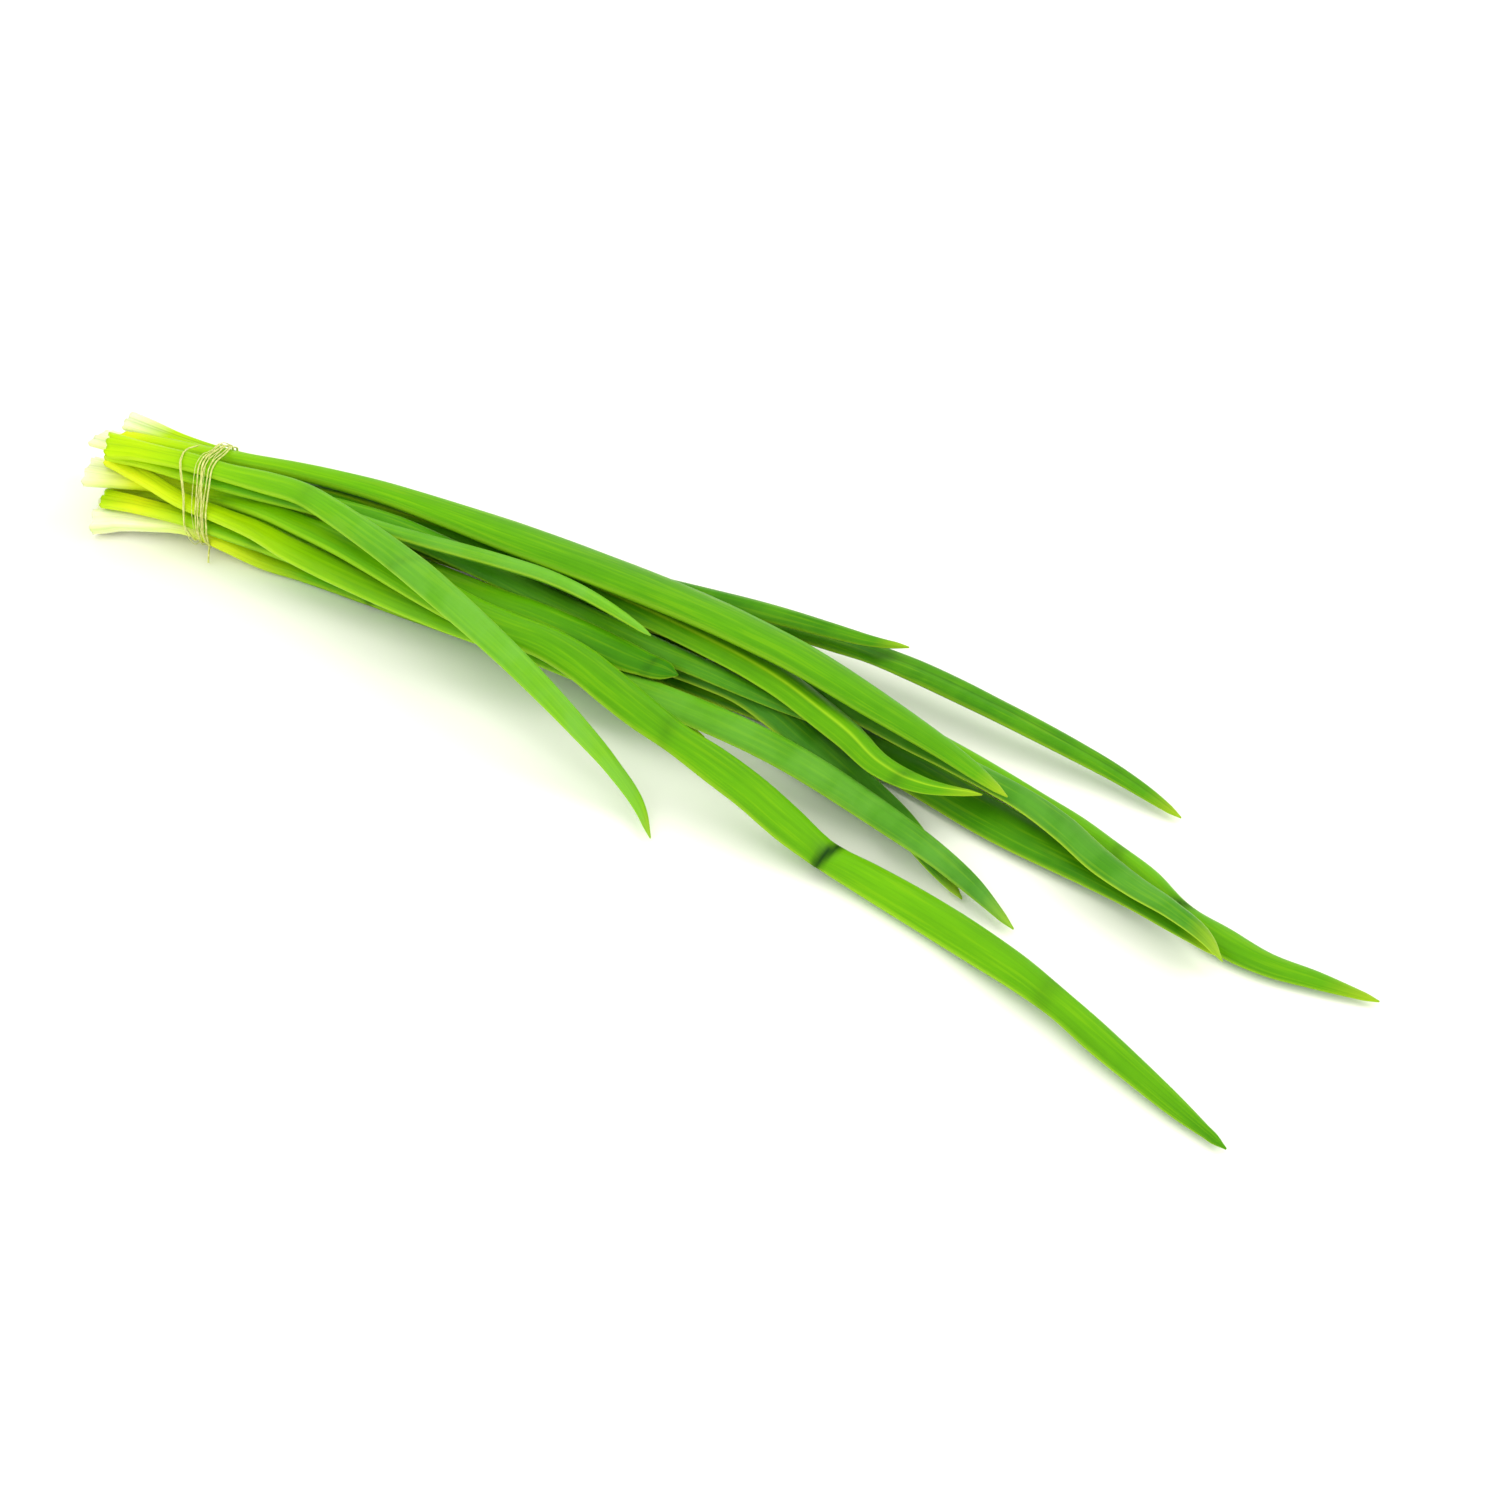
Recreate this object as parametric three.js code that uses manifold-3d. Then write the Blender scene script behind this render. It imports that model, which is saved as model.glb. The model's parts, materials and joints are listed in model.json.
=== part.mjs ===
// A tied bunch of hollow green leaves lying on a table, in millimetres.
// X runs along the bunch from the cut ends to the tips, Z is up and the table is at Z = 0.

import * as THREE from 'three';
import { mergeVertices } from 'three/addons/utils/BufferGeometryUtils.js';
import Module from 'manifold-3d';

const wasm = await Module();
wasm.setup();

// Leaf form
const SIDES = 8;
const STATION_STEP = 10;
const WALL = 0.7;
const RECESS_DEPTH = 7;
const TIP_WIDTH = 1.3;
const TIP_THICKNESS = 0.9;
const WAIST_HALF_LENGTH = 6;
const BUTT_FLARE = 4;
const PINCH_REACH = 7;
const END_MARGIN = 3;

// Settling of the leaves against each other and the table
const LEAF_GAP = 0.3;
const CHECK_STEP = 2.5;
const SETTLE_PASSES = 420;
const SMOOTH_PASSES = 300;
const SMOOTHING = 0.35;
const SPRING_BACK = 0.985;
const TABLE_ROOM_AT_TIE = 1.8;
const TIE_REACH = 9;
const TIE_RISE = 14;

// Tie thread
const THREAD_RADIUS = 0.35;
const THREAD_GAP = 0.3;
const THREAD_STEPS_PER_TURN = 34;
const THREAD_SIDES = 6;
const THREAD_CLEARANCE_REACH = 3;
const TURN_X_AT_TOP = [-2.8, 2.2, 3.2, 4.2, 5.2, 6.2];
const TURN_X_AT_BOTTOM = [0.9, 1.9, 2.9, 3.9, 4.9];
const TURN_SKEW = 0.27;
const TAIL_LENGTH = 6;
const CORNER_REACH = THREE.MathUtils.degToRad(9);
const BAND_SPREAD = THREE.MathUtils.degToRad(70);
const BAND_CHECKS = 14;

// Where the fork of the top leaf opens
const FORK_X = 60;

const LEAVES = [
  {
    name: 'leaf_back_long', colour: 0x8fc31a, butt: [4.2, 3], waist: [4.6, 3.2], full: [12.4, 4.8],
    fullAt: 108, taper: 120,
    route: [[-23, -1.5, 18.5], [0, 2.5, 18.8], [22, 7.6, 18.7], [46, 11.6, 17.6], [98, 12.8, 15.6],
      [125, 11.6, 14.9], [150, 8.8, 13.9], [177, 3.6, 12.5], [193, 0.2, 11.2], [207, -4, 10]],
  },
  {
    name: 'leaf_far_short', colour: 0x7db52a, butt: [7, 2.8], waist: [3.8, 3], full: [5.5, 3],
    fullAt: 60, taper: 40,
    route: [[-36, 5, 10], [0, 7, 11.5], [40, 14.6, 10.2], [66, 17.6, 10.4], [94, 19.6, 10.6],
      [134, 22.8, 12], [159, 25.8, 11.5], [167, 28.5, 11]],
  },
  {
    name: 'leaf_far_long', colour: 0x5f9e2b, butt: [7, 2.8], waist: [3.8, 3], full: [7.5, 3.4],
    fullAt: 90, taper: 60,
    route: [[-26, 4.5, 16.6], [0, 6, 15.6], [24, 12.6, 13.4], [40, 17.4, 8.6], [60, 20.4, 6.2],
      [90, 23.6, 5.4], [131, 26.6, 6.2], [162, 27, 7], [192, 24.2, 6], [222, 21, 3], [237, 17.4, 1.2]],
    pinches: [[162, 0.9, 0.72]],
  },
  {
    name: 'leaf_right_kinked', colour: 0x4f8a3a, butt: [5, 3.4], waist: [3.8, 3.2], full: [6.5, 3.4],
    fullAt: 60, taper: 45,
    route: [[-34, 5, 6], [0, 6, 7.5], [62, 17, 3.5], [107, 16, 3], [144, 12.5, 5.5], [168, 10.2, 5.5],
      [191, 8.8, 3], [212, 4.8, 1.8], [229, 0.2, 1.8], [240, -4.4, 1.7], [248, -8.5, 1.7],
      [258, -12.6, 1.7], [270, -15, 1.8], [281, -14.2, 1.7], [293, -13.1, 1.2]],
    pinches: [[230, 0.75, 0.9], [248, 0.62, 0.75], [262, 1.15, 1]],
  },
  {
    name: 'leaf_right_upper', colour: 0x5c9a35, butt: [6, 3], waist: [3.8, 3], full: [7, 2.6],
    fullAt: 70, taper: 45,
    route: [[-28, 1, 11], [0, 4, 10.8], [35, 8, 9], [63, 10, 7.5], [94, 12, 6.5], [125, 10.6, 7],
      [150, 8.8, 7], [176, 4.6, 6.8], [202, 1.3, 6.5], [216, -2, 6.2], [234, -11, 7], [247, -15.5, 7.8],
      [257, -19, 8], [264, -24, 7.2]],
  },
  {
    name: 'leaf_right_broad', colour: 0x3f7a2c, butt: [6, 3.2], waist: [3.8, 3], full: [10.5, 3.4],
    fullAt: 100, taper: 60,
    route: [[-33, 1.5, 3.5], [0, 3, 4.5], [35, 6, 2.5], [63, 7, 2.2], [92, 7.5, 2.2], [125, 7, 2.2],
      [158, 6.5, 2.4], [179, 3, 2.4], [205, -3.5, 2.2], [231, -8.5, 3], [246, -13.5, 4.4],
      [262, -20, 4.2]],
  },
  {
    name: 'leaf_hooked', colour: 0xa5c81c, butt: [7.5, 3.4], waist: [3.8, 3], full: [8.2, 3.4],
    fullAt: 42, taper: 40,
    route: [[-24, 1, 14], [0, 0.5, 14], [25, 6.2, 14.7], [47, 9.6, 13], [72, 12, 11.5], [100, 10.5, 10.6],
      [127, 7.4, 10.3], [149, 3.9, 10.2], [171, -4.3, 10.3], [180, -9, 10.5], [192, -9.5, 10],
      [202, -5.5, 9.5]],
    pinches: [[186, 0.85, 0.7]],
  },
  {
    name: 'leaf_under_dark', colour: 0x35692a, butt: [6, 3.2], waist: [3.8, 3], full: [8.5, 3.4],
    fullAt: 90, taper: 60,
    route: [[-24, -3, 5], [0, -2, 4.5], [44, 2, 5], [100, 4, 6.3], [120, 5, 6.4], [141, 4.2, 6.4],
      [164, -5, 5.5], [177, -10, 4.5], [189, -15, 3.2], [209, -27.4, 1.2]],
  },
  {
    name: 'leaf_front_mid', colour: 0x6fae25, butt: [6, 3.2], waist: [4.4, 3], full: [8, 3.4],
    fullAt: 42, taper: 55,
    route: [[-24, -6, 16], [0, -8, 13], [17, -6.5, 12.5], [32, -8, 11.5], [60, -9.5, 9.5], [101, -8, 7.5],
      [141, -10.2, 8], [164, -13.7, 8], [193, -20.8, 6.5], [207, -24, 4], [222, -30.2, 1.2]],
  },
  {
    name: 'leaf_front_long', colour: 0x6cb021, butt: [9, 3.8], waist: [4.6, 3.4], full: [9, 4.2],
    fullAt: 70, taper: 88,
    route: [[-28, -9.5, 12.5], [-10, -4.8, 12.6], [0, -3.3, 11.8], [19, -4.5, 14.5], [45, -6, 14],
      [82, -11, 13], [104, -12, 13], [129, -21, 13], [138, -23.5, 12.3], [158, -27.2, 9],
      [179, -31.6, 3.5], [192, -33.2, 2.2], [210, -37.1, 2.2], [234, -44.6, 3.2], [253, -52.1, 2.4],
      [272, -59.8, 1.6], [283, -64, 1.2]],
    pinches: [[138, 0.88, 0.78], [182, 0.82, 0.8], [238, 0.9, 0.75]],
  },
  {
    name: 'leaf_top_forked', colour: 0x9bcc14, butt: [7.5, 3.2], waist: [4.8, 3.2], full: [8, 3.6],
    fullAt: 38, taper: 102,
    route: [[-21, -10, 19.8], [0, -4.6, 19.6], [14, -3.6, 20.2], [25, -2.2, 20.6], [34, -2.8, 20.9],
      [47, -5.7, 20.7], [62, -10.2, 20], [90, -20.3, 18], [109, -27.2, 15], [127, -32.6, 8.5],
      [138, -36.8, 3.5], [145, -43, 1.2]],
    pinches: [[32, 0.8, 1]],
  },
  {
    name: 'leaf_top_forked_branch', colour: 0x9bcc14, butt: [3.4, 2.6], waist: [3.4, 2.6], full: [4.6, 3],
    fullAt: 60, taper: 40, growsFrom: 'leaf_top_forked',
    route: [[36, -2.2, 20.4], [47, -2, 19.6], [66, 1.5, 18], [90, 5, 16.5], [104, 3.5, 16],
      [120, -1.2, 16]],
  },
  {
    name: 'leaf_blunt', colour: 0x7fb51f, butt: [7.5, 3], waist: [3.8, 3], full: [8, 3.2],
    fullAt: 60, taper: 22,
    route: [[-24, -4.5, 9], [0, -1.5, 8], [62, -0.5, 10], [86, -2.6, 10.4], [107, -4, 10.2],
      [121, -4.4, 10], [128, -3.4, 9.8]],
  },
  {
    name: 'leaf_mid_bluish', colour: 0x4c8526, butt: [7.5, 3], waist: [3.8, 3], full: [6.6, 3],
    fullAt: 45, taper: 70,
    route: [[-22, -7, 17.5], [0, -4.6, 15.8], [16, -3.2, 16.4], [34, 1, 15.5], [51, 4, 14.2],
      [65, 4.6, 12.2], [88, 3.8, 9.8], [114, 3.4, 8.8], [130, 2.8, 8.2], [145, 1.2, 7.6], [162, 0, 6.8]],
  },
  {
    name: 'leaf_near_low', colour: 0xb4cf3a, butt: [6, 3.2], waist: [4.6, 3.4], full: [6.5, 3.4],
    fullAt: 60, taper: 50,
    route: [[-22, -9, 9], [0, -8, 9.5], [13, -6, 7.5], [30, -4.5, 6], [56, -3, 5], [89, -5, 3.5],
      [121, -8, 2], [138, -9.5, 1.2]],
  },
  {
    name: 'leaf_near_sheath', colour: 0xcfd79a, butt: [10.5, 6.2], waist: [5.8, 3.8], full: [5.2, 3.2],
    fullAt: 50, taper: 50,
    route: [[-25, -11.5, 3.6], [-11, -8.5, 4.2], [0, -6, 5.2], [19, -5.5, 2.6], [30, -4.5, 2],
      [52, -4.5, 1.6], [74, -4.5, 1.6], [99, -4, 1.6], [112, -4.5, 1.2]],
  },
];

const TABLE_STRIP_LEAVES = { leaf_near_sheath: [30, 80], leaf_right_broad: [40, 130] };

// Value of column c of a list of points that is ordered along X, as a smooth curve through them
function curveAt(points, x, c) {
  const last = points.length - 1;
  const slope = (i) => {
    const before = points[Math.max(i - 1, 0)];
    const after = points[Math.min(i + 1, last)];
    return (after[c] - before[c]) / (after[0] - before[0]);
  };
  let i = 0;
  while (i < last - 1 && x > points[i + 1][0]) i += 1;
  const span = points[i + 1][0] - points[i][0];
  const t = THREE.MathUtils.clamp((x - points[i][0]) / span, 0, 1);
  const rise = points[i + 1][c] - points[i][c];
  const bendStart = slope(i) * span - rise;
  const bendEnd = -slope(i + 1) * span + rise;
  return points[i][c] + t * rise + t * (1 - t) * ((1 - t) * bendStart + t * bendEnd);
}

// Width and thickness of a leaf at x: butt, waist in the tie, full size, then the tapered tip
function sizeAt(leaf, x) {
  const start = leaf.route[0][0];
  const end = leaf.route[leaf.route.length - 1][0];
  const toTip = THREE.MathUtils.clamp((end - x) / leaf.taper, 0, 1);
  const fill = Math.sqrt(1 - (1 - toTip) ** 2);
  return [0, 1].map((k) => {
    const growing = THREE.MathUtils.smoothstep(x, WAIST_HALF_LENGTH, leaf.fullAt);
    const flareFrom = Math.min(start, -WAIST_HALF_LENGTH - BUTT_FLARE);
    const closing = THREE.MathUtils.smoothstep(x, flareFrom, -WAIST_HALF_LENGTH);
    let size = THREE.MathUtils.lerp(leaf.waist[k], leaf.full[k], growing);
    if (x < -WAIST_HALF_LENGTH) size = THREE.MathUtils.lerp(leaf.butt[k], leaf.waist[k], closing);
    for (const pinch of leaf.pinches ?? []) {
      const near = Math.exp(-(((x - pinch[0]) / PINCH_REACH) ** 2));
      size *= THREE.MathUtils.lerp(1, pinch[k + 1], near);
    }
    const least = k === 0 ? TIP_WIDTH : TIP_THICKNESS;
    return Math.max(size * fill, least);
  });
}

// Stations of a leaf: its two ends and every shared plane between them
function makeStations(leaf) {
  const start = leaf.route[0][0];
  const end = leaf.route[leaf.route.length - 1][0];
  const places = [start];
  const first = Math.ceil((start + END_MARGIN) / STATION_STEP) * STATION_STEP;
  for (let x = first; x < end - END_MARGIN; x += STATION_STEP) places.push(x);
  places.push(end);
  return places.map((x) => {
    const [width, thickness] = sizeAt(leaf, x);
    const yaw = (curveAt(leaf.route, x + 1, 1) - curveAt(leaf.route, x - 1, 1)) / 2;
    const pitch = (curveAt(leaf.route, x + 1, 2) - curveAt(leaf.route, x - 1, 2)) / 2;
    return {
      x,
      y: curveAt(leaf.route, x, 1),
      z: curveAt(leaf.route, x, 2),
      a: (width / 2) * Math.hypot(1, yaw),
      b: (thickness / 2) * Math.hypot(1, pitch),
      dy: 0,
      dz: 0,
    };
  });
}

// Room that the table leaves under the bunch, where the thread passes below it
function tableAt(x) {
  const away = Math.max(Math.abs(x) - TIE_REACH, 0) / TIE_RISE;
  return TABLE_ROOM_AT_TIE * (1 - THREE.MathUtils.smoothstep(away, 0, 1));
}

// Section of a leaf at any x, between its two nearest stations
function sectionAt(leaf, x) {
  const { stations } = leaf;
  if (x < stations[0].x || x > stations[stations.length - 1].x) return null;
  let i = 0;
  while (i < stations.length - 2 && x > stations[i + 1].x) i += 1;
  const near = stations[i];
  const far = stations[i + 1];
  const f = (x - near.x) / (far.x - near.x);
  const mix = (key) => near[key] + f * (far[key] - near[key]);
  return { near, far, f, y: mix('y') + mix('dy'), z: mix('z') + mix('dz'), a: mix('a'), b: mix('b') };
}

function push(section, dy, dz) {
  const whole = (1 - section.f) ** 2 + section.f ** 2;
  section.near.dy += (dy * (1 - section.f)) / whole;
  section.near.dz += (dz * (1 - section.f)) / whole;
  section.far.dy += (dy * section.f) / whole;
  section.far.dz += (dz * section.f) / whole;
}

// Moves two sections apart where the discs that fill them come too close
function separate(one, two) {
  if (Math.abs(one.y - two.y) > one.a + two.a + LEAF_GAP) return;
  if (Math.abs(one.z - two.z) > one.b + two.b + LEAF_GAP) return;
  let deepest = 0;
  let way = [0, 0];
  for (const i of [-1, 0, 1]) {
    for (const j of [-1, 0, 1]) {
      const y = one.y + i * (one.a - one.b) - two.y - j * (two.a - two.b);
      const z = one.z - two.z;
      const apart = Math.hypot(y, z) || 1e-6;
      const lack = one.b + two.b + LEAF_GAP - apart;
      if (lack > deepest) {
        deepest = lack;
        way = [y / apart, z / apart];
      }
    }
  }
  push(one, (way[0] * deepest) / 2, (way[1] * deepest) / 2);
  push(two, (-way[0] * deepest) / 2, (-way[1] * deepest) / 2);
}

function grewTogether(one, two, x) {
  return x < FORK_X && (one.growsFrom === two.name || two.growsFrom === one.name);
}

function layOnTable(leaf) {
  for (const s of leaf.stations) {
    const floor = tableAt(s.x) + s.b;
    if (s.z + s.dz < floor) s.dz = floor - s.z;
    const strip = TABLE_STRIP_LEAVES[leaf.name];
    if (strip && s.x >= strip[0] && s.x <= strip[1]) s.dz = floor - s.z;
  }
}

function smooth(leaf) {
  const { stations } = leaf;
  for (const key of ['dy', 'dz']) {
    const old = stations.map((s) => s[key]);
    for (let i = 1; i < stations.length - 1; i += 1) {
      const middle = (old[i - 1] + old[i + 1]) / 2;
      stations[i][key] = SPRING_BACK * THREE.MathUtils.lerp(old[i], middle, SMOOTHING);
    }
  }
}

function settle(leaves) {
  const from = Math.min(...leaves.map((leaf) => leaf.stations[0].x));
  const to = Math.max(...leaves.map((leaf) => leaf.stations[leaf.stations.length - 1].x));
  for (let pass = 0; pass < SETTLE_PASSES; pass += 1) {
    if (pass < SMOOTH_PASSES) leaves.forEach(smooth);
    for (let x = from; x <= to; x += CHECK_STEP) {
      for (let i = 0; i < leaves.length; i += 1) {
        for (let j = i + 1; j < leaves.length; j += 1) {
          const one = sectionAt(leaves[i], x);
          const two = sectionAt(leaves[j], x);
          if (one && two && !grewTogether(leaves[i], leaves[j], x)) separate(one, two);
        }
      }
    }
    leaves.forEach(layOnTable);
  }
}

// Corner points of a section, with one flat side down
function ring(section, x, inset = 0) {
  const points = [];
  for (let k = 0; k < SIDES; k += 1) {
    const angle = ((k + 0.5) * 2 * Math.PI) / SIDES;
    const stretch = 1 / Math.cos(Math.PI / SIDES);
    const y = section.y + (section.a - inset) * Math.cos(angle) * (1 + (stretch - 1) / 2);
    const z = section.z + (section.b - inset) * Math.sin(angle) * stretch;
    points.push([x, y, z]);
  }
  return points;
}

// Closed skin over a row of rings that all have the same number of points
function skin(rings) {
  const count = rings[0].length;
  const index = [];
  for (let r = 0; r < rings.length - 1; r += 1) {
    for (let k = 0; k < count; k += 1) {
      const a = r * count + k;
      const b = r * count + ((k + 1) % count);
      index.push(a, b, b + count, a, b + count, a + count);
    }
  }
  const end = (rings.length - 1) * count;
  for (let k = 1; k < count - 1; k += 1) {
    index.push(0, k + 1, k);
    index.push(end, end + k, end + k + 1);
  }
  return { points: rings.flat(2), index };
}

// Leaf solid: a blind recess in the cut end, then the outside from the cut end to the tip
function leafSkin(leaf) {
  const start = leaf.stations[0].x;
  const rings = [];
  if (!leaf.growsFrom) {
    rings.push(ring(sectionAt(leaf, start + RECESS_DEPTH), start + RECESS_DEPTH, WALL));
    rings.push(ring(sectionAt(leaf, start), start, WALL));
  }
  for (const s of leaf.stations) rings.push(ring(sectionAt(leaf, s.x), s.x));
  return skin(rings);
}

function toManifold({ points, index }) {
  return new wasm.Manifold(new wasm.Mesh({
    numProp: 3,
    vertProperties: new Float32Array(points),
    triVerts: new Uint32Array(index),
  }));
}

function toGeometry({ points, index }) {
  const geometry = new THREE.BufferGeometry();
  geometry.setAttribute('position', new THREE.Float32BufferAttribute(points, 3));
  geometry.setIndex(index);
  geometry.computeVertexNormals();
  return geometry;
}

function fromManifold(solid) {
  const mesh = solid.getMesh();
  return toGeometry({ points: Array.from(mesh.vertProperties), index: Array.from(mesh.triVerts) });
}

function leafMaterial(colour) {
  return new THREE.MeshStandardMaterial({ color: colour, roughness: 0.45, metalness: 0 });
}

function leafMesh(leaf, leaves) {
  const branches = leaves.filter((other) => other.growsFrom === leaf.name);
  let geometry = toGeometry(leafSkin(leaf));
  if (branches.length > 0) {
    let solid = toManifold(leafSkin(leaf));
    for (const branch of branches) solid = solid.add(toManifold(leafSkin(branch)));
    geometry = fromManifold(solid);
  }
  const mesh = new THREE.Mesh(geometry, leafMaterial(leaf.colour));
  mesh.name = leaf.name;
  return mesh;
}

// Farthest that the leaves reach from the middle of the bunch at x, in the direction of an angle
function supportAt(leaves, middle, x, angle) {
  let reach = 0;
  for (const leaf of leaves) {
    const section = sectionAt(leaf, x);
    if (!section) continue;
    for (const [, y, z] of ring(section, x)) {
      const along = (y - middle[0]) * Math.cos(angle) + (z - middle[1]) * Math.sin(angle);
      reach = Math.max(reach, along);
    }
  }
  return reach;
}

// Distance from the middle to a band pulled tight around the leaves at x
function bandAt(leaves, middle, x, angle) {
  let reach = Infinity;
  for (let k = -BAND_CHECKS; k <= BAND_CHECKS; k += 1) {
    const turned = (k / BAND_CHECKS) * BAND_SPREAD;
    reach = Math.min(reach, supportAt(leaves, middle, x, angle + turned) / Math.cos(turned));
  }
  return reach;
}

// Winding of the thread: a lone turn, the close group of turns, and a short free tail
function threadCurve(leaves) {
  const middle = [0, 0];
  for (const leaf of leaves) {
    const section = sectionAt(leaf, 0);
    if (section) {
      const share = 1 / leaves.filter((other) => sectionAt(other, 0)).length;
      middle[0] += section.y * share;
      middle[1] += section.z * share;
    }
  }
  const keys = [];
  TURN_X_AT_TOP.forEach((x, turn) => {
    keys.push(x);
    if (turn < TURN_X_AT_BOTTOM.length) keys.push(TURN_X_AT_BOTTOM[turn]);
  });
  const halfTurns = keys.length - 1;
  const points = [];
  const steps = (halfTurns * THREAD_STEPS_PER_TURN) / 2;
  for (let i = 0; i <= steps; i += 1) {
    const u = (i / steps) * halfTurns;
    const k = Math.min(Math.floor(u), halfTurns - 1);
    const blend = (1 - Math.cos(Math.PI * (u - k))) / 2;
    const along = keys[k] + blend * (keys[k + 1] - keys[k]);
    const angle = Math.PI / 2 + Math.PI * u;
    let reach = 0;
    for (const side of [-1, -0.5, 0, 0.5, 1]) {
      const turned = side * CORNER_REACH;
      for (const dx of [-THREAD_CLEARANCE_REACH, 0, THREAD_CLEARANCE_REACH]) {
        reach = Math.max(reach, bandAt(leaves, middle, along + dx, angle + turned) * Math.cos(turned));
      }
    }
    reach += THREAD_RADIUS + THREAD_GAP;
    const side = reach * Math.cos(angle);
    const x = along - TURN_SKEW * side;
    points.push(new THREE.Vector3(x, middle[0] + side, middle[1] + reach * Math.sin(angle)));
  }
  const last = points[points.length - 1];
  const before = points[points.length - 2];
  const onward = last.clone().sub(before).normalize();
  points.push(last.clone().addScaledVector(onward, TAIL_LENGTH / 2));
  points.push(last.clone().addScaledVector(onward, TAIL_LENGTH));
  return new THREE.CatmullRomCurve3(points, false, 'centripetal');
}

function threadMesh(leaves) {
  const outline = new THREE.Shape();
  for (let k = 0; k < THREAD_SIDES; k += 1) {
    const angle = (k * 2 * Math.PI) / THREAD_SIDES;
    const at = [THREAD_RADIUS * Math.cos(angle), THREAD_RADIUS * Math.sin(angle)];
    if (k === 0) outline.moveTo(...at);
    else outline.lineTo(...at);
  }
  outline.closePath();
  const curve = threadCurve(leaves);
  const steps = curve.points.length - 1;
  const swept = new THREE.ExtrudeGeometry(outline, { steps, bevelEnabled: false, extrudePath: curve });
  swept.deleteAttribute('normal');
  swept.deleteAttribute('uv');
  const geometry = mergeVertices(swept, 1e-4);
  geometry.computeVertexNormals();
  const material = new THREE.MeshStandardMaterial({ color: 0xe3d38a, roughness: 0.8, metalness: 0 });
  const mesh = new THREE.Mesh(geometry, material);
  mesh.name = 'tie_thread';
  return mesh;
}

const leaves = LEAVES.map((leaf) => ({ ...leaf, stations: makeStations(leaf) }));
settle(leaves);

const bunch = new THREE.Group();
for (const leaf of leaves) {
  if (!leaf.growsFrom) bunch.add(leafMesh(leaf, leaves));
}
bunch.add(threadMesh(leaves));

// The origin is on the table, under the middle of the bunch's outline
const outline = new THREE.Box3().setFromObject(bunch);
const middle = outline.getCenter(new THREE.Vector3());
for (const piece of bunch.children) piece.geometry.translate(-middle.x, -middle.y, -outline.min.z);

export default bunch;
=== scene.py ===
# %% [markdown]
# # A tied bunch of hollow green leaves
# The real object is fifteen cut leaves held by a few turns of thin plant fibre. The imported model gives
# where each leaf lies. This script dresses that model: it builds fine leaf surfaces and thread where the
# plain solids are, and gives them the colour, veins and sheen of fresh leaves.

# %% Load the frame and measure it
import json
import math
import bpy
import numpy as np
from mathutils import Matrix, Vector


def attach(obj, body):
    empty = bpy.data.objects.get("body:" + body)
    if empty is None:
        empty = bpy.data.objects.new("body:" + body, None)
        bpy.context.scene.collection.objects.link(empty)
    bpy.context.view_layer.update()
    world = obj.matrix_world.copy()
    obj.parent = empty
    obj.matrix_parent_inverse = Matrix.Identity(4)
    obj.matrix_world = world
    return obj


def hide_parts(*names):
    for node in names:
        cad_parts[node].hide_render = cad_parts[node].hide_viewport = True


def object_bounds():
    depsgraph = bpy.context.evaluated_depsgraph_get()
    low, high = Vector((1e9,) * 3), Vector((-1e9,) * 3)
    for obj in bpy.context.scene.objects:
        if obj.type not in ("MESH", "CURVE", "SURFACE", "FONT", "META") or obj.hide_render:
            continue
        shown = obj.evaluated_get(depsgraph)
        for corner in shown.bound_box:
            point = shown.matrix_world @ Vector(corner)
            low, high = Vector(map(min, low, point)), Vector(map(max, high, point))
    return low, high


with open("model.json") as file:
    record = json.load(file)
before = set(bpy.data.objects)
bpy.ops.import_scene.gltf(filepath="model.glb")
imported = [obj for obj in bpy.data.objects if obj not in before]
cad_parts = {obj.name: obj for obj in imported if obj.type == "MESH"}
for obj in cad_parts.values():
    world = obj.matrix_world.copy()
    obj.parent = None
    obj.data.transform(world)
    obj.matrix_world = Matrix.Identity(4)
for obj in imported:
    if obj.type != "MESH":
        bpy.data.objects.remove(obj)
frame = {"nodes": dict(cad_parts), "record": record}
CAD_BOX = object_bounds()
MM = 0.001
print("plain model box in metres:", CAD_BOX)


# %% [markdown]
# ## The camera first
# The photograph looks down at about 40 degrees, with the bunch running away to the left and back. A
# long lens from some 70 cm keeps the far cut ends only a little smaller than the near tips.

# %% Camera
CAMERA_TARGET = np.array([19.6, 9.7, 0.0]) * MM
CAMERA_AZIMUTH = 30.0
CAMERA_ELEVATION = 40.0
CAMERA_DISTANCE = 0.710
CAMERA_LENS_MM = 80.0
CAMERA_SENSOR_MM = 36.0


def camera_position():
    turn = math.radians(CAMERA_AZIMUTH)
    lift = math.radians(CAMERA_ELEVATION)
    back = np.array([math.sin(turn) * math.cos(lift), -math.cos(turn) * math.cos(lift), math.sin(lift)])
    return CAMERA_TARGET + CAMERA_DISTANCE * back


camera_data = bpy.data.cameras.new("photo_camera")
camera_data.lens = CAMERA_LENS_MM
camera_data.sensor_width = CAMERA_SENSOR_MM
camera = bpy.data.objects.new("photo_camera", camera_data)
camera.location = camera_position()
camera.rotation_euler = (math.radians(90.0 - CAMERA_ELEVATION), 0.0, math.radians(CAMERA_AZIMUTH))
bpy.context.scene.collection.objects.link(camera)
bpy.context.scene.camera = camera
print("camera at", [round(float(v), 3) for v in camera.location])


# %% [markdown]
# ## Where each leaf lies
# Every plain leaf solid is a row of eight-sided rings, each in a plane across the bunch. Reading the
# width, thickness and middle of each ring back gives the leaf's route, so the fine leaf lies exactly
# where the solid does and nothing is placed twice. An eight-sided ring is a little narrower than the
# oval it stands for, so the width read back is divided by RING_SHRINK.

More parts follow.
